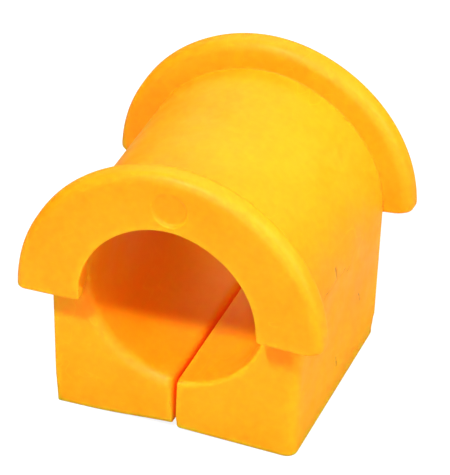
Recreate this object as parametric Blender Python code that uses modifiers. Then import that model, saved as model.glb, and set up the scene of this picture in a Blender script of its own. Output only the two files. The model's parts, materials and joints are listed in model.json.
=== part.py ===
"""Split flanged bush that holds a sway bar to the chassis.

One polyurethane moulding: an arch on a square block, a half-round flange at each
end, a bore along Y and a slit from the bore down through the base.  The bush is
sprung open at the slit to pass over the bar, so it is modelled as the two halves
that swing about the crown of the arch, with a hairline gap between them there.

Metres, +Z up, bore along Y, standing on z = 0, centred on x = 0 and y = 0.
"""

import math

import bmesh
import bpy
from mathutils import Matrix, Vector

MM = 0.001

# The moulding as it leaves the mould, measured from its own flat base.
BORE_RADIUS = 14.0 * MM
HALF_WIDTH = 19.6 * MM
FLANGE_RADIUS = 23.9 * MM
FLANGE_THICKNESS = 3.7 * MM
LENGTH = 42.6 * MM
ARCH_HEIGHT = 21.3 * MM
BORE_HEIGHT = 22.2 * MM
MOULDED_SLIT = 2.45 * MM

# Roundings.
RIM_ROUND = 1.3 * MM
ROOT_ROUND = 0.4 * MM
BLOCK_ROUND = 1.0 * MM
ROUND_STEPS = 4

# Cooling draws the legs together, so each half stands toed in about the crown line.
TOE_IN = math.radians(1.27)
CROWN_GAP = 0.3 * MM

TURN_STEPS = 96
SHARP_ANGLE = math.radians(35)
OVERSHOOT = 5.0 * MM
WELD = 0.002 * MM

BODY_END = LENGTH / 2 - FLANGE_THICKNESS
MOULDED_CROWN = ARCH_HEIGHT + FLANGE_RADIUS

YELLOW = (0.96, 0.45, 0.02, 1.0)


def clear_scene():
    for obj in list(bpy.data.objects):
        bpy.data.objects.remove(obj, do_unlink=True)


def new_collection(name):
    collection = bpy.data.collections.new(name)
    bpy.context.scene.collection.children.link(collection)
    return collection


def polyurethane():
    material = bpy.data.materials.new("yellow_polyurethane")
    material.use_nodes = True
    shader = material.node_tree.nodes["Principled BSDF"]
    shader.inputs["Base Color"].default_value = YELLOW
    shader.inputs["Roughness"].default_value = 0.45
    shader.inputs["Metallic"].default_value = 0.0
    material.diffuse_color = YELLOW
    return material


def object_from(mesh, name, collection):
    obj = bpy.data.objects.new(name, mesh)
    collection.objects.link(obj)
    return obj


def make_cutter(obj):
    obj.hide_render = True
    obj.display_type = "WIRE"


def box(name, low, high, collection):
    """A box between two corners, from a unit cube."""
    low = Vector(low)
    high = Vector(high)
    bm = bmesh.new()
    bmesh.ops.create_cube(bm, size=1.0)
    bmesh.ops.scale(bm, vec=high - low, verts=bm.verts)
    bmesh.ops.translate(bm, vec=(low + high) / 2, verts=bm.verts)
    mesh = bpy.data.meshes.new(name)
    bm.to_mesh(mesh)
    bm.free()
    return object_from(mesh, name, collection)


def rod(name, radius, length, height, collection):
    """A round rod along Y at the given height."""
    bm = bmesh.new()
    turn = Matrix.Translation((0, 0, height)) @ Matrix.Rotation(math.pi / 2, 4, "X")
    bmesh.ops.create_cone(bm, cap_ends=True, segments=TURN_STEPS, radius1=radius,
                          radius2=radius, depth=length, matrix=turn)
    mesh = bpy.data.meshes.new(name)
    bm.to_mesh(mesh)
    bm.free()
    return object_from(mesh, name, collection)


def boolean(obj, other, operation):
    modifier = obj.modifiers.new(operation.lower() + "_" + other.name, "BOOLEAN")
    modifier.operation = operation
    modifier.object = other
    modifier.solver = "EXACT"


def arc(centre_radius, centre_y, radius, start_degrees, end_degrees):
    """Points of a rounding in the turned profile, as (radius, y)."""
    points = []
    for step in range(ROUND_STEPS + 1):
        angle = math.radians(start_degrees + (end_degrees - start_degrees) * step / ROUND_STEPS)
        points.append((centre_radius + radius * math.cos(angle),
                       centre_y + radius * math.sin(angle)))
    return points


def spool_profile():
    """Outline of the turned arch and its flanges, from the +Y axis end to the -Y one."""
    end = LENGTH / 2
    upper = [(0.0, end)]
    upper += arc(FLANGE_RADIUS - RIM_ROUND, end - RIM_ROUND, RIM_ROUND, 90, 0)
    upper += arc(FLANGE_RADIUS - RIM_ROUND, BODY_END + RIM_ROUND, RIM_ROUND, 0, -90)
    upper += arc(HALF_WIDTH + ROOT_ROUND, BODY_END - ROOT_ROUND, ROOT_ROUND, 90, 180)
    lower = [(radius, -y) for radius, y in reversed(upper)]
    return upper + lower


def spool(collection):
    """The arch and both flanges as one turned drum about the arch's axis."""
    points = spool_profile()
    mesh = bpy.data.meshes.new("spool")
    vertices = [(radius, y, 0.0) for radius, y in points]
    edges = [(index, index + 1) for index in range(len(points) - 1)]
    mesh.from_pydata(vertices, edges, [])
    obj = object_from(mesh, "spool", collection)
    obj.location.z = ARCH_HEIGHT
    screw = obj.modifiers.new("turn", "SCREW")
    screw.axis = "Y"
    screw.angle = math.tau
    screw.steps = TURN_STEPS
    screw.render_steps = TURN_STEPS
    screw.use_merge_vertices = True
    screw.merge_threshold = WELD
    screw.use_normal_calculate = True
    return obj


def block(collection):
    """The square block under the arch, with its free edges rounded."""
    obj = box("block", (-HALF_WIDTH, -BODY_END, 0), (HALF_WIDTH, BODY_END, ARCH_HEIGHT),
              collection)
    bm = bmesh.new()
    bm.from_mesh(obj.data)
    free_edges = []
    for edge in bm.edges:
        lowest = min(vertex.co.z for vertex in edge.verts)
        if lowest < ARCH_HEIGHT / 2:
            free_edges.append(edge)
    bmesh.ops.bevel(bm, geom=free_edges, offset=BLOCK_ROUND, offset_type="OFFSET",
                    segments=ROUND_STEPS, profile=0.5, affect="EDGES")
    bm.to_mesh(obj.data)
    bm.free()
    return obj


def evaluated_mesh(obj, name):
    """The object's mesh with its modifiers applied, welded, in world space."""
    graph = bpy.context.evaluated_depsgraph_get()
    mesh = bpy.data.meshes.new_from_object(obj.evaluated_get(graph))
    mesh.transform(obj.matrix_world)
    mesh.name = name
    bm = bmesh.new()
    bm.from_mesh(mesh)
    bmesh.ops.remove_doubles(bm, verts=bm.verts, dist=WELD)
    bmesh.ops.dissolve_degenerate(bm, dist=WELD, edges=bm.edges)
    bm.to_mesh(mesh)
    bm.free()
    return mesh


def moulding_mesh(cutters):
    """The whole bush in one straight piece, its slit open and parallel."""
    end = LENGTH / 2 + OVERSHOOT
    side = FLANGE_RADIUS + OVERSHOOT
    drum = spool(cutters)
    below = box("below_arch", (-side, -end, ARCH_HEIGHT - side), (side, end, ARCH_HEIGHT), cutters)
    base = block(cutters)
    bore = rod("bore", BORE_RADIUS, 2 * end, BORE_HEIGHT, cutters)
    slit = box("slit", (-MOULDED_SLIT / 2, -end, -OVERSHOOT),
               (MOULDED_SLIT / 2, end, BORE_HEIGHT), cutters)
    boolean(drum, below, "DIFFERENCE")
    boolean(drum, base, "UNION")
    boolean(drum, bore, "DIFFERENCE")
    boolean(drum, slit, "DIFFERENCE")
    bpy.context.view_layer.update()
    mesh = evaluated_mesh(drum, "moulding")
    for obj in (drum, below, base, bore, slit):
        bpy.data.objects.remove(obj, do_unlink=True)
    return mesh


def standing_height():
    """Height of the crown line once the toed-in legs stand on their rounded outer edges."""
    out = (HALF_WIDTH - BLOCK_ROUND) * math.sin(TOE_IN)
    down = (MOULDED_CROWN - BLOCK_ROUND) * math.cos(TOE_IN)
    return BLOCK_ROUND + out + down


def half(name, side, mesh, material, parts, cutters):
    """One half of the bush: side is +1 for +X and -1 for -X."""
    far = FLANGE_RADIUS + OVERSHOOT
    end = LENGTH / 2 + OVERSHOOT
    plane = CROWN_GAP / 2
    low_x, high_x = sorted((-side * far, side * plane))
    other_side = box("beyond_" + name, (low_x, -end, -OVERSHOOT),
                     (high_x, end, standing_height() + OVERSHOOT), cutters)
    make_cutter(other_side)
    obj = object_from(mesh.copy(), name, parts)
    obj.data.transform(Matrix.Translation((0, 0, -MOULDED_CROWN)))
    obj.location = (0, 0, standing_height())
    obj.rotation_euler = (0, side * TOE_IN, 0)
    obj.data.materials.clear()
    obj.data.materials.append(material)
    boolean(obj, other_side, "DIFFERENCE")
    obj.data.shade_smooth()
    obj.data.set_sharp_from_angle(angle=SHARP_ANGLE)
    return obj


def build():
    clear_scene()
    parts = new_collection("sway_bar_bush")
    cutters = new_collection("cutters")
    material = polyurethane()
    mesh = moulding_mesh(cutters)
    half("left_half", -1, mesh, material, parts, cutters)
    half("right_half", 1, mesh, material, parts, cutters)
    bpy.data.meshes.remove(mesh)


build()
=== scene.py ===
"""Looks of the split flanged bush: one polyurethane moulding that flexes open at its slit.

The moulding is a closed quad mesh on a grid bent into its C shape, with the grid's lines
crowded along every edge.  Its points are then settled onto a distance field of the arch,
block, flanges, bore and slit, which gives each edge its own rounding.
"""

import json
import math

import bmesh
import bpy
import numpy as np
from mathutils import Matrix, Vector


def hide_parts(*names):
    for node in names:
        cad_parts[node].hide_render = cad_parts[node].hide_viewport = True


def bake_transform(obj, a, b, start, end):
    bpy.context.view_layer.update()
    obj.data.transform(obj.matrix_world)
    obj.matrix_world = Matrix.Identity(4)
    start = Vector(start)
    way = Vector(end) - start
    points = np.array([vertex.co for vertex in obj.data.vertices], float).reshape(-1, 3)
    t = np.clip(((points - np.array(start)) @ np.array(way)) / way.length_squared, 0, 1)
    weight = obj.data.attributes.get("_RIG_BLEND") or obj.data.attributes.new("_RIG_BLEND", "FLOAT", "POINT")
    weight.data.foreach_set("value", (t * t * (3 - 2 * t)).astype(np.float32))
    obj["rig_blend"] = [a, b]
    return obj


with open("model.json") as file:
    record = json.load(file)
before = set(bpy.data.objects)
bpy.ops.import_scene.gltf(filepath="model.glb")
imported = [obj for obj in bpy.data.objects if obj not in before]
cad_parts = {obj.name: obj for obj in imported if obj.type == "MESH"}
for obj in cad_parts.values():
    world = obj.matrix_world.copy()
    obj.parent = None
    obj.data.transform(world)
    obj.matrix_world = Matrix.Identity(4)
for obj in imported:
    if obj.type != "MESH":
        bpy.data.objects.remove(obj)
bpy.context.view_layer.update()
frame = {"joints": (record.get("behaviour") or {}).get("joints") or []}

MM = 0.001

# The moulding before its legs are drawn together, as in the CAD model.
BORE_RADIUS = 14.0 * MM
HALF_WIDTH = 19.6 * MM
FLANGE_RADIUS = 23.9 * MM
FLANGE_THICKNESS = 3.7 * MM
LENGTH = 42.6 * MM
ARCH_HEIGHT = 21.3 * MM
BORE_HEIGHT = 22.2 * MM
MOULDED_SLIT = 2.45 * MM
TOE_IN = math.radians(1.27)

HALF_LENGTH = LENGTH / 2
BODY_END = HALF_LENGTH - FLANGE_THICKNESS
MOULDED_CROWN = ARCH_HEIGHT + FLANGE_RADIUS
HINGE = Vector(frame["joints"][0]["pos_m"])

# Distances of the grid's crowded lines from an edge, the least room they leave before the
# middle of a stretch, and the spacing elsewhere.
CROWDED = np.array([0.0, 0.12, 0.3, 0.55, 0.85, 1.25, 1.8]) * MM
LEAST_MIDDLE = 0.2 * MM
ARCH_STEP = 0.55 * MM
LEG_STEP = 1.5 * MM
WALL_STEPS = 5

# Bearing round the bore of the grid line that ends on the block's lower corner.
CORNER_BEARING = math.radians(135)

# Settling onto the distance field: its rounds, and the half step that measures a slope.
SETTLE_ROUNDS = 8
PROBE = 0.002 * MM
LEAST_STEEPNESS = 0.25

# Roundings: the flange edges that face the front are fuller than those that face the rear.
ROOT_ROUND = 0.2 * MM
DRUM_ROUND = 0.3 * MM
FRONTWARD_ROUND = 1.6 * MM
REARWARD_ROUND = 1.0 * MM

# The block's edges: all, the upright one at the front right, and the rear right one, which is
# fuller only at its foot and fades between two heights.
BLOCK_ROUND = 0.35 * MM
FRONT_RIGHT_ROUND = 1.7 * MM
REAR_RIGHT_ROUND = 1.6 * MM
REAR_RIGHT_FOOT = 1.0 * MM
REAR_RIGHT_TOP = 3.2 * MM

# The edges under the flanges: on their faces, and at the outer corners beyond a reach.
UNDER_ROUND = 0.35 * MM
FRONT_RIGHT_CORNER = 1.2 * MM
REAR_CORNER = 0.8 * MM
CORNER_START = FLANGE_RADIUS - 2.4 * MM
CORNER_FULL = FLANGE_RADIUS - 1.0 * MM

# The bore's mouth: on the flanges, on the block below them and at the block's front left.
FLANGE_MOUTH = 0.2 * MM
BLOCK_MOUTH = 0.6 * MM
FRONT_LEFT_MOUTH = 1.8 * MM
MOUTH_START = ARCH_HEIGHT + 2.0 * MM
MOUTH_FULL = ARCH_HEIGHT + 0.5 * MM

# The slit's edges: sharp, the left leg's above its foot and near the bore, the right foot's.
SLIT_ROUND = 0.15 * MM
LEFT_SLIT_ROUND = 0.55 * MM
LEFT_BORE_ROUND = 1.05 * MM
RIGHT_FOOT_ROUND = 0.7 * MM
SLIT_FOOT_LOW = 0.5 * MM
SLIT_FOOT_HIGH = 2.0 * MM
SLIT_BORE_LOW = 4.0 * MM
SLIT_BORE_HIGH = 7.0 * MM
SLIT_SIDE = 0.5 * MM

# Distance either side of the middle over which a rounding changes to the other side's.
CHANGE_REACH = 2.0 * MM

# The rear flange's underside rises outwards by this slope.
REAR_RISE = 0.13

# The shallow round mark left on the front flange.
MARK_X = 0.3 * MM
MARK_Z = 39.85 * MM
MARK_RADIUS = 2.85 * MM
MARK_WALL = 0.35 * MM
MARK_DEPTH = 0.32 * MM
MARK_TILT = 0.28 * MM
MARK_CUTS = 3
MARK_MARGIN = 0.4 * MM

# The left leg's underside rises this much towards the slit, between two places across it.
FOOT_LIFT = 0.65 * MM
LIFT_START = -14.0 * MM
LIFT_FULL = 0.5 * MM

# Its side tucks in this much at the foot, from this height down.
FOOT_TUCK = 0.25 * MM
TUCK_START = 6.0 * MM

# The lip of flash inside the front flange's left leg.
LIP_AT = np.array([-14.0, -20.9, 22.0]) * MM
LIP_REACH = 1.9 * MM
LIP_HEIGHT = 1.1 * MM

# Nicks and scratches in the right side, in mm: where each starts and ends along Y and in
# height, and the distance from its middle at which it fades out.
NICKS = [((-3.0, 24.3), (-2.9, 22.1), 0.5),
         ((-3.2, 22.0), (-8.3, 22.1), 0.24),
         ((1.0, 21.8), (-1.5, 21.8), 0.16),
         ((3.7, 21.1), (1.6, 20.7), 0.16),
         ((8.3, 12.7), (9.0, 10.8), 0.22),
         ((-0.7, 7.1), (0.0, 5.0), 0.32)]

# The noise that bends them: its scale and its full swing.
WAVER_SCALE = 650
WAVER = 1.0 * MM

# How far inside the surface its sharpness is felt, and the reading on a square edge, for the edges' rubbed
# wear and painted highlight.
WEAR_AND_HIGHLIGHT_REACH = 1.0 * MM
WEAR_AND_HIGHLIGHT_FULL = 0.29

# The slit's walls that get a painted red glow: how near the plane of the wall, how high and how far inside.
WALL_NEAR = 0.1 * MM
WALL_FAR = 0.3 * MM
GLOW_LOW = 0.4 * MM
GLOW_FULL = 2.0 * MM
GLOW_INSET = 1.5 * MM
GLOW_TOP = ARCH_HEIGHT / 2

# Linear colours of the polyurethane.
DEEP_YELLOW = (0.985, 0.28, 0.002, 1)
PALE_YELLOW = (1.0, 0.335, 0.0055, 1)
# Paler yellow of rubbed edges, which is also a painted highlight on them; the hairlines use it too.
RUBBED_AND_HIGHLIGHT_YELLOW = (1.0, 0.39, 0.007, 1)
CUT_YELLOW = (0.45, 0.165, 0.008, 1)
# The colour of the painted glow on the slit's walls, which stands in for red light coming through the wall.
SLIT_GLOW_RED = (1.0, 0.03, 0.0, 1)

# Where the tone turns from deep to pale, and how much of it is cloud and mottle.
DEEP_TONE = 0.36
PALE_TONE = 0.64
CLOUD_SHARE = 0.7
MOTTLE_SHARE = 0.3

# How much of its colour each kind of wear puts on; the rubbed share is also a painted highlight on convex
# edges.
RUBBED_AND_HIGHLIGHT_SHARE = 0.55
HAIRLINE_SHARE = 0.35
CUT_SHARE = 0.9

# Scattering inside the polyurethane, and how much of it each kind of wear takes away.
SCATTER = 0.9
SCATTER_RADIUS = (1.0, 0.16, 0.025)
SCATTER_SCALE = 5.0 * MM
CUT_SCATTER = 0.85
HAIRLINE_SCATTER = 0.3

# Strength of the slit's painted red glow, which stands in for light that comes through the wall.
PAINTED_SLIT_GLOW = 0.07

# Gloss: the least and most roughness of the skin, and what rubbing adds.
SPECULAR = 0.17
SMOOTH = 0.46
DULL = 0.6
RUBBED_DULL = 0.1

# Noise scales, in cells per metre.
CLOUD_SCALE = 60
MOTTLE_SCALE = 900
PATCH_SCALE = 420
HAIRLINE_SCALE = 150
SPARSE_SCALE = 95
UNEVEN_SCALE = 500
SMEAR_SCALE = 220
GRAIN_SCALE = 2600
RIPPLE_SCALE = 180

# Noise levels between which a pattern turns from its least to full, and that least.
NOISE_MIDDLE = 0.5
PATCH_LEVELS = (0.35, 0.65)
PATCH_LEAST = 0.25
SPARSE_LEVELS = (0.52, 0.62)
UNEVEN_LEVELS = (0.35, 0.6)
UNEVEN_LEAST = 0.2
SMEAR_LEVELS = (0.3, 0.7)

# The hairlines are drawn out along the bore.  Half their width is in levels of the noise.
HAIRLINE_STRETCH = (1.0, 0.22, 0.8)
HAIRLINE_WIDTH = 0.006

# Relief.
GRAIN_HEIGHT = 0.009 * MM
RIPPLE_HEIGHT = 0.02 * MM
HAIRLINE_DEPTH = 0.004 * MM
CUT_DEPTH = 0.1 * MM

# Bearings either side of the crown over which the bush flexes, and its legs are drawn in.
FLEX_BEARING = math.radians(65)
TOE_BEARING = math.radians(30)

# The camera.
AZIMUTH = math.radians(20.42)
ELEVATION = math.radians(33.73)
ROLL = math.radians(1.39)
DISTANCE = 508.7 * MM
LOOK_AT = Vector((0.72, 0.0, 22.9)) * MM
LENS = 279.4

# The floor, and the backdrop behind it.
FLOOR_REACH = 4.0
FLOOR_COLOUR = (0.15, 0.15, 0.15, 1)
FLOOR_ROUGHNESS = 0.9
FLOOR_GLOW = 0.88
BACKDROP_GLOW = 0.9

# The card under the floor, and its glow beside the bush and further out.
CARD_DEPTH = 1.0 * MM
CARD_REACH = 110.0 * MM
CARD_SHADED = 0.15
CARD_GLOW = 0.66
SHADE_REACH = 14.0 * MM

WHITE = (1, 1, 1, 1)
BLACK = (0, 0, 0, 1)

# Square panels facing the bush: azimuth, from in front of it towards its right, and
# elevation, both in degrees, then the side in metres and the power in watts.
LIGHT_DISTANCE = 0.9
LIGHTS = [("key", -7, 56.5, 0.1, 9.7),
          ("front", 3, 10, 0.5, 5.6),
          ("front_right", 40, 10, 0.5, 0.7),
          ("right_high", 90, 56, 0.5, 2.7),
          ("right", 100, 33, 0.5, 5.0),
          ("right_low", 80, 10, 0.5, 3.2),
          ("rear_left", -140, 33, 0.5, 1.4),
          ("rear", 180, 54, 0.5, 2.2)]


def ramp(low, high, value):
    """0 below low, 1 above high and smooth between."""
    t = np.clip((value - low) / (high - low), 0, 1)
    return t * t * (3 - 2 * t)


def both(a, b, radius):
    """Distance to where two shapes overlap, the edge between them rounded."""
    outside = np.hypot(np.maximum(a + radius, 0), np.maximum(b + radius, 0))
    return np.minimum(np.maximum(a, b), -radius) + outside


def either(a, b, radius):
    """Distance to two joined shapes, the inner corner between them filled."""
    inside = np.hypot(np.maximum(radius - a, 0), np.maximum(radius - b, 0))
    return np.maximum(np.minimum(a, b), radius) - inside


def over(value):
    """0 to the left or the front of the middle, 1 beyond it and smooth between."""
    return ramp(-CHANGE_REACH, CHANGE_REACH, value)


def corner_round(x, y, z):
    """Rounding of the block's upright edges: fullest front right, and at the rear right's foot."""
    rear = over(y)
    base = ramp(REAR_RIGHT_TOP, REAR_RIGHT_FOOT, z)
    front_extra = (FRONT_RIGHT_ROUND - BLOCK_ROUND) * (1 - rear)
    rear_extra = (REAR_RIGHT_ROUND - BLOCK_ROUND) * rear * base
    return BLOCK_ROUND + over(x) * (front_extra + rear_extra)


def arch_and_block(x, y, z):
    ends = np.abs(y) - BODY_END
    drum = both(np.hypot(x, z - ARCH_HEIGHT) - HALF_WIDTH, ends, DRUM_ROUND)
    lift = FOOT_LIFT * ramp(LIFT_START, LIFT_FULL, x) * (x < 0)
    tuck = FOOT_TUCK * ramp(TUCK_START, 0, z) * (x < 0)
    plan = both(np.abs(x) - HALF_WIDTH + tuck, ends, corner_round(x, y, z))
    return np.where(z > ARCH_HEIGHT, drum, both(plan, lift - z, BLOCK_ROUND))


def end_mark(x, z):
    """Depth of the round mark, deeper towards its foot."""
    reach = np.hypot(x - MARK_X, z - MARK_Z)
    depth = MARK_DEPTH - MARK_TILT * (z - MARK_Z) / MARK_RADIUS
    return depth * ramp(MARK_RADIUS, MARK_RADIUS - MARK_WALL, reach)


def flange_foot_round(x, y, reach):
    """Rounding under a flange: small on its faces, and fullest at the front right corner."""
    front_corner = UNDER_ROUND + (FRONT_RIGHT_CORNER - UNDER_ROUND) * over(x)
    corner = front_corner + (REAR_CORNER - front_corner) * over(y)
    out = ramp(CORNER_START, CORNER_FULL, reach)
    return UNDER_ROUND + (corner - UNDER_ROUND) * out


def flanges(x, y, z):
    reach = np.hypot(x, z - ARCH_HEIGHT)
    end = np.abs(y) - HALF_LENGTH + np.where(y < 0, end_mark(x, z), 0)
    disc = both(reach - FLANGE_RADIUS, end, np.where(y < 0, FRONTWARD_ROUND, REARWARD_ROUND))
    slab = both(disc, BODY_END - np.abs(y), np.where(y < 0, REARWARD_ROUND, FRONTWARD_ROUND))
    rise = REAR_RISE * np.maximum(np.abs(x) - HALF_WIDTH, 0) * (y > 0)
    return both(slab, ARCH_HEIGHT + rise - z, flange_foot_round(x, y, reach))


def lip(x, y, z):
    """Height of the lip of flash above the bore's wall."""
    away = np.hypot(np.hypot(x - LIP_AT[0], y - LIP_AT[1]), z - LIP_AT[2]) / LIP_REACH
    return LIP_HEIGHT * np.maximum(1 - away ** 2, 0) ** 2


def mouth_round(x, y, z):
    """Rounding of the bore's edge: small on the flanges, larger on the block's faces."""
    below = ramp(MOUTH_START, MOUTH_FULL, z)
    front_left = (1 - over(x)) * (1 - over(y))
    on_block = BLOCK_MOUTH + (FRONT_LEFT_MOUTH - BLOCK_MOUTH) * front_left
    return FLANGE_MOUTH + (on_block - FLANGE_MOUTH) * below


def slit_round(x, y, z):
    """Rounding of the slit's edges: the left leg's are worn rounder, the right leg's foot too."""
    left = ramp(SLIT_SIDE, -SLIT_SIDE, x)
    foot = ramp(SLIT_FOOT_HIGH, SLIT_FOOT_LOW, z)
    bore = ramp(SLIT_BORE_LOW, SLIT_BORE_HIGH, z)
    left_extra = (LEFT_SLIT_ROUND - SLIT_ROUND) * (1 - foot)
    left_extra += (LEFT_BORE_ROUND - LEFT_SLIT_ROUND) * bore
    right_extra = (RIGHT_FOOT_ROUND - SLIT_ROUND) * foot
    return SLIT_ROUND + left * left_extra + (1 - left) * right_extra


def moulding(points):
    """Signed distance of each point from the moulding's surface, negative inside."""
    x, y, z = points.T
    solid = either(arch_and_block(x, y, z), flanges(x, y, z), ROOT_ROUND)
    bore = BORE_RADIUS - lip(x, y, z) - np.hypot(x, z - BORE_HEIGHT)
    solid = both(solid, bore, mouth_round(x, y, z))
    slit = np.minimum(MOULDED_SLIT / 2 - np.abs(x), BORE_HEIGHT - z)
    return both(solid, slit, slit_round(x, y, z))


def settle(points):
    """Moves points straight down or up the distance field until they lie on the surface."""
    points = points.copy()
    for _ in range(SETTLE_ROUNDS):
        slope = np.empty_like(points)
        for axis in range(3):
            step = np.zeros(3)
            step[axis] = PROBE
            slope[:, axis] = moulding(points + step) - moulding(points - step)
        slope /= 2 * PROBE
        steepness = np.maximum((slope ** 2).sum(axis=1), LEAST_STEEPNESS)
        points -= slope * (moulding(points) / steepness)[:, None]
    return points


def lines(start, end, step):
    """Grid lines from start to end, crowded at both ends."""
    near = CROWDED[CROWDED < (end - start) / 2 - LEAST_MIDDLE]
    count = max(1, round((end - start - 2 * near[-1]) / step))
    middle = np.linspace(start + near[-1], end - near[-1], count + 1)[1:-1]
    return np.concatenate([start + near, middle, end - near[::-1]])


def half_section():
    """Inner and outer points of each station from the crown round to the slit, on the +X side."""
    flange_foot = math.acos((ARCH_HEIGHT - BORE_HEIGHT) / BORE_RADIUS)
    slit_edge = math.pi - math.asin(MOULDED_SLIT / 2 / BORE_RADIUS)
    bearing = lines(0, HALF_WIDTH * math.pi / 2, ARCH_STEP) / HALF_WIDTH
    down = lines(0, ARCH_HEIGHT, LEG_STEP)[1:]
    across = lines(0, HALF_WIDTH - MOULDED_SLIT / 2, LEG_STEP)[1:]
    drop = CORNER_BEARING - flange_foot
    rest = slit_edge - CORNER_BEARING
    inner_bearing = np.concatenate([
        bearing * flange_foot / (math.pi / 2),
        flange_foot + drop * down / ARCH_HEIGHT,
        CORNER_BEARING + rest * across / across[-1]])
    inner = np.stack([BORE_RADIUS * np.sin(inner_bearing),
                      BORE_HEIGHT + BORE_RADIUS * np.cos(inner_bearing)], axis=1)
    radial = np.stack([np.sin(bearing), np.cos(bearing)], axis=1)
    springing = np.array([0, ARCH_HEIGHT])
    side = np.stack([np.full(len(down), HALF_WIDTH), ARCH_HEIGHT - down], axis=1)
    base = np.stack([HALF_WIDTH - across, np.zeros(len(across))], axis=1)
    outer = np.concatenate([springing + HALF_WIDTH * radial, side, base])
    rim = np.concatenate([springing + FLANGE_RADIUS * radial, side, base])
    return inner, outer, rim, len(bearing)


def mirrored(half):
    """The whole C from one slit face to the other."""
    return np.concatenate([half[:0:-1] * (-1, 1), half])


def wall_points(inner, outer):
    """Points across the wall at each station, crowded at the bore and at the outside."""
    across = outer - inner
    thickness = np.linalg.norm(across, axis=1)[:, None]
    middle = np.linspace(0, 1, WALL_STEPS + 1)[None, 1:-1]
    reach = CROWDED[-1] + (thickness - 2 * CROWDED[-1]) * middle
    near = np.broadcast_to(CROWDED, (len(inner), len(CROWDED)))
    distance = np.concatenate([near, reach, thickness - near[:, ::-1]], axis=1)
    return inner[:, None] + across[:, None] * (distance / thickness)[:, :, None]


def skin(cells):
    """Outward quads between full and empty cells, as numbers of the grid's points."""
    shape = np.array(cells.shape) + 1
    stride = np.array([shape[1] * shape[2], shape[2], 1])
    quads = []
    for axis in range(3):
        pad = [(1, 1) if a == axis else (0, 0) for a in range(3)]
        change = np.diff(np.pad(cells.astype(int), pad), axis=axis)
        one, two = stride[(axis + 1) % 3], stride[(axis + 2) % 3]
        for sign in (-1, 1):
            corner = np.argwhere(change == sign) @ stride
            loop = [corner, corner + one, corner + one + two, corner + two]
            quads.append(np.stack(loop[::-sign], axis=1))
    return np.concatenate(quads)


def bent_grid():
    """The grid's points and the quads of the moulding's skin on it."""
    inner, outer, rim, arch_stations = half_section()
    inner, outer, rim = mirrored(inner), mirrored(outer), mirrored(rim)
    wall = wall_points(inner, outer)
    beyond = lines(0, FLANGE_RADIUS - HALF_WIDTH, ARCH_STEP)[1:] / (FLANGE_RADIUS - HALF_WIDTH)
    collar = outer[:, None] + (rim - outer)[:, None] * beyond[None, :, None]
    section = np.concatenate([wall, collar], axis=1)
    flange_lines = lines(BODY_END, HALF_LENGTH, LEG_STEP)[1:]
    body_lines = lines(-BODY_END, BODY_END, LEG_STEP)
    along = np.concatenate([-flange_lines[::-1], body_lines, flange_lines])
    points = np.empty((len(section), len(along), section.shape[1], 3))
    points[..., 0] = section[:, None, :, 0]
    points[..., 1] = along[None, :, None]
    points[..., 2] = section[:, None, :, 1]
    cells = np.zeros(np.array(points.shape[:3]) - 1, dtype=bool)
    on_wall = wall.shape[1] - 1
    ends = len(flange_lines)
    middle = len(section) // 2
    cells[:, ends:-ends, :on_wall] = True
    for end in (slice(0, ends), slice(-ends, None)):
        cells[middle - arch_stations + 1:middle + arch_stations - 1, end, :] = True
    quads = skin(cells)
    used, numbers = np.unique(quads, return_inverse=True)
    return points.reshape(-1, 3)[used], numbers.reshape(quads.shape)


def bearing_of(points):
    """Angle of each point about the arch's axis, 0 at the crown and positive towards +X."""
    return np.arctan2(points[:, 0], points[:, 2] - ARCH_HEIGHT)


def draw_legs_together(points):
    """Turns each leg in about the crown line and stands the bush on its feet."""
    angle = TOE_IN * (2 * ramp(-TOE_BEARING, TOE_BEARING, bearing_of(points)) - 1)
    x, z = points[:, 0], points[:, 2] - MOULDED_CROWN
    turned = points.copy()
    turned[:, 0] = x * np.cos(angle) + z * np.sin(angle)
    turned[:, 2] = z * np.cos(angle) - x * np.sin(angle) + HINGE.z
    return turned


def coordinates(mesh):
    points = np.empty(3 * len(mesh.vertices))
    mesh.vertices.foreach_get("co", points)
    return points.reshape(-1, 3)


def refine_mark(mesh):
    """Finer quads where the round mark lies on the front face."""
    deepest = MARK_DEPTH + MARK_TILT - HALF_LENGTH
    bm = bmesh.new()
    bm.from_mesh(mesh)
    edges = set()
    for face in bm.faces:
        middle = face.calc_center_median()
        away = math.hypot(middle.x - MARK_X, middle.z - MARK_Z)
        if middle.y < deepest and away < MARK_RADIUS + MARK_MARGIN:
            edges.update(face.edges)
    bmesh.ops.subdivide_edges(bm, edges=list(edges), cuts=MARK_CUTS, use_grid_fill=True)
    bm.to_mesh(mesh)
    bm.free()


def mark_wear_and_highlight(mesh, points):
    """Stores how sharply the surface turns outwards, for rubbed wear and a painted highlight: 0 on the flat
    and 1 on a convex edge.
    """
    normals = np.empty(3 * len(mesh.vertices))
    mesh.vertices.foreach_get("normal", normals)
    inside = moulding(points - normals.reshape(-1, 3) * WEAR_AND_HIGHLIGHT_REACH) / WEAR_AND_HIGHLIGHT_REACH + 1
    wear_and_highlight = mesh.attributes.new("wear_and_highlight", "FLOAT", "POINT")
    wear_and_highlight.data.foreach_set("value", np.clip(inside / WEAR_AND_HIGHLIGHT_FULL, 0, 1).astype(np.float32))


def mark_painted_slit_glow(mesh, points):
    """Stores 1 on the slit's walls, away from their edges, where a painted glow stands in for light that
    comes through the wall.
    """
    x, y, z = np.abs(points.T)
    glow_walls = ramp(MOULDED_SLIT / 2 + WALL_FAR, MOULDED_SLIT / 2 + WALL_NEAR, x)
    glow_walls *= ramp(GLOW_LOW, GLOW_FULL, z) * ramp(BODY_END, BODY_END - GLOW_INSET, y)
    glow_walls *= z < GLOW_TOP
    slit = mesh.attributes.new("slit", "FLOAT", "POINT")
    slit.data.foreach_set("value", glow_walls.astype(np.float32))


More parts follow.
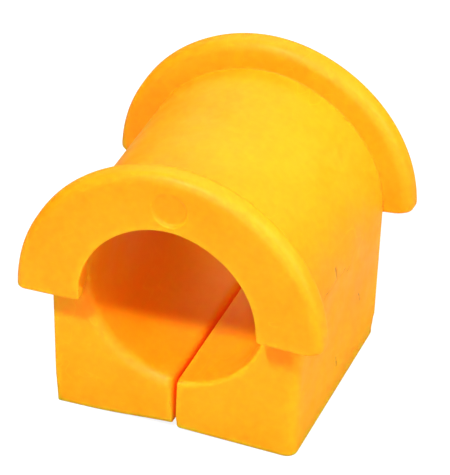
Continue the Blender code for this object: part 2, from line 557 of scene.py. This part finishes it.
def make_bush(material):
    points, quads = bent_grid()
    mesh = bpy.data.meshes.new("bush")
    mesh.from_pydata(settle(points).tolist(), [], quads.tolist())
    refine_mark(mesh)
    points = settle(coordinates(mesh))
    mesh.vertices.foreach_set("co", points.ravel())
    mesh.update()
    mark_wear_and_highlight(mesh, points)
    mark_painted_slit_glow(mesh, points)
    bend = ramp(-FLEX_BEARING, FLEX_BEARING, bearing_of(points))
    mesh.vertices.foreach_set("co", draw_legs_together(points).ravel())
    mesh.update()
    mesh.shade_smooth()
    mesh.materials.append(material)
    bush = bpy.data.objects.new("bush", mesh)
    bpy.context.scene.collection.objects.link(bush)
    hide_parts("left_half", "right_half")
    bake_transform(bush, "left_half", "right_half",
             start=(-HALF_WIDTH, 0, HINGE.z), end=(HALF_WIDTH, 0, HINGE.z))

    # These run round the arch instead.
    mesh.attributes["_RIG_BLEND"].data.foreach_set("value", bend.astype(np.float32))


def noise(tree, place, scale, detail, stretch=(1, 1, 1)):
    """Noise on the surface, drawn out where stretch is below 1."""
    turned = tree.nodes.new("ShaderNodeMapping")
    turned.inputs["Scale"].default_value = stretch
    tree.links.new(place, turned.inputs["Vector"])
    texture = tree.nodes.new("ShaderNodeTexNoise")
    texture.inputs["Scale"].default_value = scale
    texture.inputs["Detail"].default_value = detail
    tree.links.new(turned.outputs["Vector"], texture.inputs["Vector"])
    return texture.outputs["Fac"]


def scaled(tree, value, from_low, from_high, to_low, to_high):
    """The value carried smoothly from one range to another."""
    node = tree.nodes.new("ShaderNodeMapRange")
    node.interpolation_type = "SMOOTHSTEP"
    node.inputs["From Min"].default_value = from_low
    node.inputs["From Max"].default_value = from_high
    node.inputs["To Min"].default_value = to_low
    node.inputs["To Max"].default_value = to_high
    tree.links.new(value, node.inputs["Value"])
    return node.outputs["Result"]


def maths(tree, operation, *values):
    node = tree.nodes.new("ShaderNodeMath")
    node.operation = operation
    for socket, value in zip(node.inputs, values):
        if isinstance(value, (int, float)):
            socket.default_value = value
        else:
            tree.links.new(value, socket)
    return node.outputs["Value"]


def vector_maths(tree, operation, *values):
    node = tree.nodes.new("ShaderNodeVectorMath")
    node.operation = operation
    for socket, value in zip(node.inputs, values):
        if isinstance(value, Vector):
            socket.default_value = value
        else:
            tree.links.new(value, socket)
    is_number = operation in ("DISTANCE", "DOT_PRODUCT", "LENGTH")
    return node.outputs["Value" if is_number else "Vector"]


def times(tree, vector, share):
    """A constant vector times a share."""
    node = tree.nodes.new("ShaderNodeVectorMath")
    node.operation = "SCALE"
    node.inputs["Vector"].default_value = vector
    tree.links.new(share, node.inputs["Scale"])
    return node.outputs["Vector"]


def blended(tree, share, colour, other):
    """One colour turning into another, which is a constant."""
    node = tree.nodes.new("ShaderNodeMix")
    node.data_type = "RGBA"
    sockets = {socket.identifier: socket for socket in node.inputs}
    tree.links.new(share, sockets["Factor_Float"])
    tree.links.new(colour, sockets["A_Color"])
    sockets["B_Color"].default_value = other
    return next(socket for socket in node.outputs if socket.identifier == "Result_Color")


def nicks(tree, place):
    """Up to 1 along the nicks and scratches in the right side at rest, 0 elsewhere.

    They are placed in space, not on the mesh, so they slide over it when the bush is open.
    """
    waver = tree.nodes.new("ShaderNodeTexNoise")
    waver.inputs["Scale"].default_value = WAVER_SCALE
    tree.links.new(place, waver.inputs["Vector"])
    middle = Vector((NOISE_MIDDLE, NOISE_MIDDLE, NOISE_MIDDLE))
    waver = vector_maths(tree, "SUBTRACT", waver.outputs["Color"], middle)
    waver = vector_maths(tree, "MULTIPLY", waver, Vector((WAVER, WAVER, WAVER)))
    flat = vector_maths(tree, "ADD", place, waver)
    flat = vector_maths(tree, "MULTIPLY", flat, Vector((0, 1, 1)))
    deepest = None
    for start, end, width in NICKS:
        start = Vector((0, *start)) * MM
        along = Vector((0, *end)) * MM - start
        offset = vector_maths(tree, "SUBTRACT", flat, start)
        share = vector_maths(tree, "DOT_PRODUCT", offset, along / along.length_squared)
        share = maths(tree, "MINIMUM", maths(tree, "MAXIMUM", share, 0), 1)
        gap = vector_maths(tree, "DISTANCE", offset, times(tree, along, share))
        mask = scaled(tree, gap, 0, width * MM, 1, 0)
        deepest = mask if deepest is None else maths(tree, "MAXIMUM", deepest, mask)
    across = tree.nodes.new("ShaderNodeSeparateXYZ")
    tree.links.new(place, across.inputs["Vector"])
    outside = (BORE_RADIUS + HALF_WIDTH) / 2
    on_right = maths(tree, "GREATER_THAN", across.outputs["X"], outside)
    uneven = scaled(tree, noise(tree, place, UNEVEN_SCALE, 2), *UNEVEN_LEVELS, UNEVEN_LEAST, 1)
    return maths(tree, "MULTIPLY", deepest, maths(tree, "MULTIPLY", on_right, uneven))


def polyurethane():
    material = bpy.data.materials.new("yellow_polyurethane")
    material.use_nodes = True
    tree = material.node_tree
    shader = tree.nodes["Principled BSDF"]
    shader.inputs["Subsurface Radius"].default_value = SCATTER_RADIUS
    shader.inputs["Subsurface Scale"].default_value = SCATTER_SCALE
    shader.inputs["Specular IOR Level"].default_value = SPECULAR
    place = tree.nodes.new("ShaderNodeTexCoord").outputs["Object"]

    # Broad clouds and fine mottling in the colour.
    cloud = maths(tree, "MULTIPLY", noise(tree, place, CLOUD_SCALE, 4), CLOUD_SHARE)
    mottle = maths(tree, "MULTIPLY", noise(tree, place, MOTTLE_SCALE, 3), MOTTLE_SHARE)
    tint = tree.nodes.new("ShaderNodeValToRGB")
    deep, pale = tint.color_ramp.elements
    deep.position = DEEP_TONE
    deep.color = DEEP_YELLOW
    pale.position = PALE_TONE
    pale.color = PALE_YELLOW
    tree.links.new(maths(tree, "ADD", cloud, mottle), tint.inputs["Fac"])

    # Convex edges are paler in patches, partly rubbed wear and partly a painted highlight, and duller.
    wear_and_highlight = tree.nodes.new("ShaderNodeAttribute")
    wear_and_highlight.attribute_name = "wear_and_highlight"
    patches = scaled(tree, noise(tree, place, PATCH_SCALE, 5), *PATCH_LEVELS, PATCH_LEAST, 1)
    rubbed_and_highlight = maths(tree, "MULTIPLY", wear_and_highlight.outputs["Fac"], patches)
    share = maths(tree, "MULTIPLY", rubbed_and_highlight, RUBBED_AND_HIGHLIGHT_SHARE)
    colour = blended(tree, share, tint.outputs["Color"], RUBBED_AND_HIGHLIGHT_YELLOW)

    # Sparse hairline scratches, drawn out along the bore, and the nicks in the side.
    level = noise(tree, place, HAIRLINE_SCALE, 2, HAIRLINE_STRETCH)
    off_line = maths(tree, "ABSOLUTE", maths(tree, "SUBTRACT", level, NOISE_MIDDLE))
    line = scaled(tree, off_line, 0, HAIRLINE_WIDTH, 1, 0)
    sparse = scaled(tree, noise(tree, place, SPARSE_SCALE, 1), *SPARSE_LEVELS, 0, 1)
    hairlines = maths(tree, "MULTIPLY", line, sparse)
    cuts = nicks(tree, place)
    colour = blended(tree, maths(tree, "MULTIPLY", hairlines, HAIRLINE_SHARE), colour,
                     RUBBED_AND_HIGHLIGHT_YELLOW)
    colour = blended(tree, maths(tree, "MULTIPLY", cuts, CUT_SHARE), colour, CUT_YELLOW)
    tree.links.new(colour, shader.inputs["Base Color"])

    # A cut's torn wall scatters less than the smooth skin.
    torn = maths(tree, "ADD", maths(tree, "MULTIPLY", cuts, CUT_SCATTER),
                 maths(tree, "MULTIPLY", hairlines, HAIRLINE_SCATTER))
    scatter = maths(tree, "SUBTRACT", SCATTER, torn)
    tree.links.new(scatter, shader.inputs["Subsurface Weight"])

    # A painted red glow on the slit's walls stands in for the little light that comes through them.
    slit = tree.nodes.new("ShaderNodeAttribute")
    slit.attribute_name = "slit"
    glow = maths(tree, "MULTIPLY", slit.outputs["Fac"], PAINTED_SLIT_GLOW)
    shader.inputs["Emission Color"].default_value = SLIT_GLOW_RED
    tree.links.new(glow, shader.inputs["Emission Strength"])

    # Gloss that varies as if handled.
    smear = scaled(tree, noise(tree, place, SMEAR_SCALE, 3), *SMEAR_LEVELS, SMOOTH, DULL)
    roughness = maths(tree, "ADD", smear, maths(tree, "MULTIPLY", rubbed_and_highlight, RUBBED_DULL))
    tree.links.new(roughness, shader.inputs["Roughness"])

    # A fine cast grain over a faint ripple, cut by the scratches and nicks.
    grain = maths(tree, "MULTIPLY", noise(tree, place, GRAIN_SCALE, 2), GRAIN_HEIGHT)
    ripple = maths(tree, "MULTIPLY", noise(tree, place, RIPPLE_SCALE, 2), RIPPLE_HEIGHT)
    cut = maths(tree, "ADD", maths(tree, "MULTIPLY", hairlines, HAIRLINE_DEPTH),
                maths(tree, "MULTIPLY", cuts, CUT_DEPTH))
    relief = maths(tree, "SUBTRACT", maths(tree, "ADD", grain, ripple), cut)
    bump = tree.nodes.new("ShaderNodeBump")
    bump.inputs["Strength"].default_value = 1
    bump.inputs["Distance"].default_value = 1
    tree.links.new(relief, bump.inputs["Height"])
    tree.links.new(bump.outputs["Normal"], shader.inputs["Normal"])
    return material


def floor_material():
    material = bpy.data.materials.new("pale_floor")
    material.use_nodes = True
    shader = material.node_tree.nodes["Principled BSDF"]
    shader.inputs["Base Color"].default_value = FLOOR_COLOUR
    shader.inputs["Roughness"].default_value = FLOOR_ROUGHNESS
    shader.inputs["Emission Color"].default_value = WHITE
    shader.inputs["Emission Strength"].default_value = FLOOR_GLOW
    return material


def flat_square(name, reach, height, material):
    mesh = bpy.data.meshes.new(name)
    corners = [(-reach, -reach), (reach, -reach), (reach, reach), (-reach, reach)]
    mesh.from_pydata([(x, y, height) for x, y in corners], [], [(0, 1, 2, 3)])
    mesh.materials.append(material)
    square = bpy.data.objects.new(name, mesh)
    bpy.context.scene.collection.objects.link(square)
    return square


def make_floor():
    """The pale floor.  The card under it stands for the light it throws on the bush."""
    floor = flat_square("floor", FLOOR_REACH, 0.0, floor_material())
    floor.visible_diffuse = False
    floor.visible_glossy = False


def make_card():
    """The floor's glow on the bush: dark where the bush shades it and brighter further out."""
    material = bpy.data.materials.new("white_card")
    material.use_nodes = True
    tree = material.node_tree
    shader = tree.nodes["Principled BSDF"]
    shader.inputs["Base Color"].default_value = BLACK
    shader.inputs["Emission Color"].default_value = WHITE
    place = tree.nodes.new("ShaderNodeTexCoord").outputs["Object"]
    away = vector_maths(tree, "ABSOLUTE", place)
    away = vector_maths(tree, "SUBTRACT", away, Vector((HALF_WIDTH, HALF_LENGTH, 1)))
    away = vector_maths(tree, "MAXIMUM", away, Vector((0, 0, 0)))
    away = vector_maths(tree, "LENGTH", away)
    glow = scaled(tree, away, 0, SHADE_REACH, CARD_SHADED, CARD_GLOW)
    tree.links.new(glow, shader.inputs["Emission Strength"])
    card = flat_square("card", CARD_REACH, -CARD_DEPTH, material)
    card.visible_camera = False
    card.visible_transmission = False
    card.visible_shadow = False


def make_backdrop():
    """A pale world that only the camera sees, so it throws no light on the bush."""
    world = bpy.data.worlds.new("backdrop")
    bpy.context.scene.world = world
    world.use_nodes = True
    background = world.node_tree.nodes["Background"]
    background.inputs["Color"].default_value = WHITE
    background.inputs["Strength"].default_value = BACKDROP_GLOW
    world.cycles_visibility.diffuse = False
    world.cycles_visibility.glossy = False
    world.cycles_visibility.transmission = False
    world.cycles_visibility.scatter = False


def direction(azimuth, elevation):
    """From the bush: azimuth 0 is in front of it and positive is to its right."""
    return Vector((math.sin(azimuth) * math.cos(elevation),
                   -math.cos(azimuth) * math.cos(elevation),
                   math.sin(elevation)))


def soft_light(name, azimuth, elevation, size, power):
    toward = direction(math.radians(azimuth), math.radians(elevation))
    light = bpy.data.lights.new(name, "AREA")
    light.shape = "SQUARE"
    light.size = size
    light.energy = power
    lamp = bpy.data.objects.new(name, light)
    lamp.location = LOOK_AT + toward * LIGHT_DISTANCE
    lamp.rotation_euler = toward.to_track_quat("Z", "Y").to_euler()
    bpy.context.scene.collection.objects.link(lamp)


def make_lights():
    for light in LIGHTS:
        soft_light(*light)


def make_camera():
    back = direction(AZIMUTH, ELEVATION)
    camera = bpy.data.cameras.new("camera")
    camera.sensor_fit = "HORIZONTAL"
    camera.lens = LENS
    holder = bpy.data.objects.new("camera", camera)
    bpy.context.scene.collection.objects.link(holder)
    turn = back.to_track_quat("Z", "Y").to_matrix().to_4x4() @ Matrix.Rotation(ROLL, 4, "Z")
    holder.matrix_world = Matrix.Translation(LOOK_AT + back * DISTANCE) @ turn
    bpy.context.scene.camera = holder


bpy.context.scene.view_settings.view_transform = "Standard"
make_camera()
make_lights()
make_floor()
make_card()
make_backdrop()
make_bush(polyurethane())
